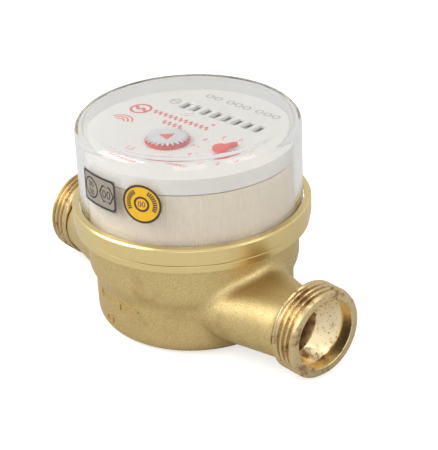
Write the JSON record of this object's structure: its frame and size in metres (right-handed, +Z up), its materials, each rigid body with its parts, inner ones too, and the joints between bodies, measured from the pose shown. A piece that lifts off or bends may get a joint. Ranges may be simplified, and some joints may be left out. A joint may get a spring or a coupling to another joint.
{
  "type": "water meter",
  "caption": "Small single-jet water meter: brass body with two in-line threaded ports, clamp ring, and a dry dial register with rollers and a flow star under a clear hood.",
  "frame": {"origin": "under the centre of the bowl, on the base plane", "axes": "+X along the pipe in the flow direction (outlet side), +Z up through the dial, +Y completes a right-handed frame"},
  "size_m": [0.11, 0.0694, 0.0628],
  "materials": {
    "cast_brass": "blasted casting",
    "turned_brass": "fine turned",
    "clear_plastic": "clear polished acrylic",
    "cream_plastic": "ribbed, slightly see-through",
    "white_plastic": "fine matt",
    "grey_plastic": "moulded",
    "red_plastic": "moulded gloss",
    "gear_plastic": "moulded",
    "steel": "ground",
    "ferrite": "sintered",
    "seal_rubber": "moulded",
    "grey_label": "printed film",
    "yellow_label": "printed film"
  },
  "bodies": {
    "meter_body": {"body_casting": "cast_brass", "clamp_ring": "turned_brass", "glide_ring": "white_plastic", "chamber_o_ring": "seal_rubber", "separator_plate": "white_plastic", "upper_bearing_bush": "grey_plastic", "lower_pivot_pin": "steel", "inlet_strainer": "white_plastic"},
    "impeller": {"impeller": "white_plastic", "impeller_spindle": "steel", "drive_magnet": "ferrite"},
    "register": {"hood": "clear_plastic", "register_cup": "cream_plastic", "dial_plate": "white_plastic", "lower_frame": "grey_plastic", "upper_frame": "grey_plastic", "roller_shaft": "steel", "pinion_shaft": "steel", "magnet_shield": "steel", "frame_screw_1": "steel", "frame_screw_2": "steel", "frame_screw_3": "steel", "approval_label": "grey_label", "calibration_label": "yellow_label"},
    "centre_arbor": {"follower_magnet": "ferrite", "centre_pinion": "gear_plastic"},
    "star_arbor": {"star_gears": "gear_plastic", "flow_star": "red_plastic"},
    "second_arbor": {"second_gears": "gear_plastic"},
    "pointer_arbor": {"pointer_gears": "gear_plastic", "pointer": "red_plastic"},
    "idler": {"idler_gear": "gear_plastic"},
    "worm_arbor": {"worm_drive_gear": "gear_plastic", "worm": "gear_plastic"},
    "roller_8": {"number_roller_8": "white_plastic"},
    "roller_7": {"number_roller_7": "white_plastic"},
    "roller_6": {"number_roller_6": "white_plastic"},
    "roller_5": {"number_roller_5": "white_plastic"},
    "roller_4": {"number_roller_4": "white_plastic"},
    "roller_3": {"number_roller_3": "white_plastic"},
    "roller_2": {"number_roller_2": "white_plastic"},
    "roller_1": {"number_roller_1": "white_plastic"},
    "pinion_7": {"transfer_pinion_7": "gear_plastic"},
    "pinion_6": {"transfer_pinion_6": "gear_plastic"},
    "pinion_5": {"transfer_pinion_5": "gear_plastic"},
    "pinion_4": {"transfer_pinion_4": "gear_plastic"},
    "pinion_3": {"transfer_pinion_3": "gear_plastic"},
    "pinion_2": {"transfer_pinion_2": "gear_plastic"},
    "pinion_1": {"transfer_pinion_1": "gear_plastic"}
  },
  "joints": [
    {"name": "impeller_spin", "type": "hinge", "parent": "meter_body", "child": "impeller", "pos_m": [0, 0, 0.0136], "axis": [0, 0, 1], "continuous": true},
    {"name": "register_turn", "type": "hinge", "parent": "meter_body", "child": "register", "pos_m": [0, 0, 0.0345], "axis": [0, 0, 1], "continuous": true},
    {"name": "centre_arbor_spin", "type": "hinge", "parent": "register", "child": "centre_arbor", "pos_m": [0, 0, 0.04], "axis": [0, 0, 1], "continuous": true},
    {"name": "star_arbor_spin", "type": "hinge", "parent": "register", "child": "star_arbor", "pos_m": [0.00182, -0.00928, 0.04], "axis": [0, 0, 1], "continuous": true},
    {"name": "second_arbor_spin", "type": "hinge", "parent": "register", "child": "second_arbor", "pos_m": [0.01127, -0.00917, 0.04], "axis": [0, 0, 1], "continuous": true},
    {"name": "pointer_arbor_spin", "type": "hinge", "parent": "register", "child": "pointer_arbor", "pos_m": [0.01707, -0.00289, 0.04], "axis": [0, 0, 1], "continuous": true},
    {"name": "idler_spin", "type": "hinge", "parent": "register", "child": "idler", "pos_m": [0.00983, 0.00472, 0.04], "axis": [0, 0, 1], "continuous": true},
    {"name": "worm_arbor_spin", "type": "hinge", "parent": "register", "child": "worm_arbor", "pos_m": [0.01871, 0.01032, 0.04], "axis": [0, 0, 1], "continuous": true},
    {"name": "roller_8_spin", "type": "hinge", "parent": "register", "child": "roller_8", "pos_m": [0.01398, 0.01431, 0.051], "axis": [0.9936, 0.1132, 0], "continuous": true},
    {"name": "roller_7_spin", "type": "hinge", "parent": "register", "child": "roller_7", "pos_m": [0.00998, 0.01386, 0.051], "axis": [0.9936, 0.1132, 0], "continuous": true},
    {"name": "roller_6_spin", "type": "hinge", "parent": "register", "child": "roller_6", "pos_m": [0.00597, 0.0134, 0.051], "axis": [0.9936, 0.1132, 0], "continuous": true},
    {"name": "roller_5_spin", "type": "hinge", "parent": "register", "child": "roller_5", "pos_m": [0.00197, 0.01295, 0.051], "axis": [0.9936, 0.1132, 0], "continuous": true},
    {"name": "roller_4_spin", "type": "hinge", "parent": "register", "child": "roller_4", "pos_m": [-0.00204, 0.01249, 0.051], "axis": [0.9936, 0.1132, 0], "continuous": true},
    {"name": "roller_3_spin", "type": "hinge", "parent": "register", "child": "roller_3", "pos_m": [-0.00604, 0.01203, 0.051], "axis": [0.9936, 0.1132, 0], "continuous": true},
    {"name": "roller_2_spin", "type": "hinge", "parent": "register", "child": "roller_2", "pos_m": [-0.01005, 0.01158, 0.051], "axis": [0.9936, 0.1132, 0], "continuous": true},
    {"name": "roller_1_spin", "type": "hinge", "parent": "register", "child": "roller_1", "pos_m": [-0.01405, 0.01112, 0.051], "axis": [0.9936, 0.1132, 0], "continuous": true},
    {"name": "pinion_7_spin", "type": "hinge", "parent": "register", "child": "pinion_7", "pos_m": [0.00998, 0.01386, 0.04596], "axis": [0.9936, 0.1132, 0], "continuous": true},
    {"name": "pinion_6_spin", "type": "hinge", "parent": "register", "child": "pinion_6", "pos_m": [0.00597, 0.0134, 0.04596], "axis": [0.9936, 0.1132, 0], "continuous": true},
    {"name": "pinion_5_spin", "type": "hinge", "parent": "register", "child": "pinion_5", "pos_m": [0.00197, 0.01295, 0.04596], "axis": [0.9936, 0.1132, 0], "continuous": true},
    {"name": "pinion_4_spin", "type": "hinge", "parent": "register", "child": "pinion_4", "pos_m": [-0.00204, 0.01249, 0.04596], "axis": [0.9936, 0.1132, 0], "continuous": true},
    {"name": "pinion_3_spin", "type": "hinge", "parent": "register", "child": "pinion_3", "pos_m": [-0.00604, 0.01203, 0.04596], "axis": [0.9936, 0.1132, 0], "continuous": true},
    {"name": "pinion_2_spin", "type": "hinge", "parent": "register", "child": "pinion_2", "pos_m": [-0.01005, 0.01158, 0.04596], "axis": [0.9936, 0.1132, 0], "continuous": true},
    {"name": "pinion_1_spin", "type": "hinge", "parent": "register", "child": "pinion_1", "pos_m": [-0.01405, 0.01112, 0.04596], "axis": [0.9936, 0.1132, 0], "continuous": true}
  ],
  "couplings": [
    {"joint": "centre_arbor_spin", "follows": "impeller_spin", "ratio": 1},
    {"joint": "star_arbor_spin", "follows": "impeller_spin", "ratio": -0.25},
    {"joint": "second_arbor_spin", "follows": "impeller_spin", "ratio": 0.1},
    {"joint": "pointer_arbor_spin", "follows": "impeller_spin", "ratio": -0.035714},
    {"joint": "idler_spin", "follows": "impeller_spin", "ratio": 0.017857},
    {"joint": "worm_arbor_spin", "follows": "impeller_spin", "ratio": -0.035714},
    {"joint": "roller_8_spin", "follows": "impeller_spin", "ratio": -0.0035714},
    {"joint": "roller_7_spin", "follows": "impeller_spin", "ratio": -0.00035714},
    {"joint": "roller_6_spin", "follows": "impeller_spin", "ratio": -0.000035714},
    {"joint": "roller_5_spin", "follows": "impeller_spin", "ratio": -0.0000035714},
    {"joint": "roller_4_spin", "follows": "impeller_spin", "ratio": -0.00000035714},
    {"joint": "roller_3_spin", "follows": "impeller_spin", "ratio": -0.000000035714},
    {"joint": "roller_2_spin", "follows": "impeller_spin", "ratio": -0.0000000035714},
    {"joint": "roller_1_spin", "follows": "impeller_spin", "ratio": -0.00000000035714},
    {"joint": "pinion_7_spin", "follows": "impeller_spin", "ratio": 0.00089286},
    {"joint": "pinion_6_spin", "follows": "impeller_spin", "ratio": 0.000089286},
    {"joint": "pinion_5_spin", "follows": "impeller_spin", "ratio": 0.0000089286},
    {"joint": "pinion_4_spin", "follows": "impeller_spin", "ratio": 0.00000089286},
    {"joint": "pinion_3_spin", "follows": "impeller_spin", "ratio": 0.000000089286},
    {"joint": "pinion_2_spin", "follows": "impeller_spin", "ratio": 0.0000000089286},
    {"joint": "pinion_1_spin", "follows": "impeller_spin", "ratio": 0.00000000089286}
  ]
}
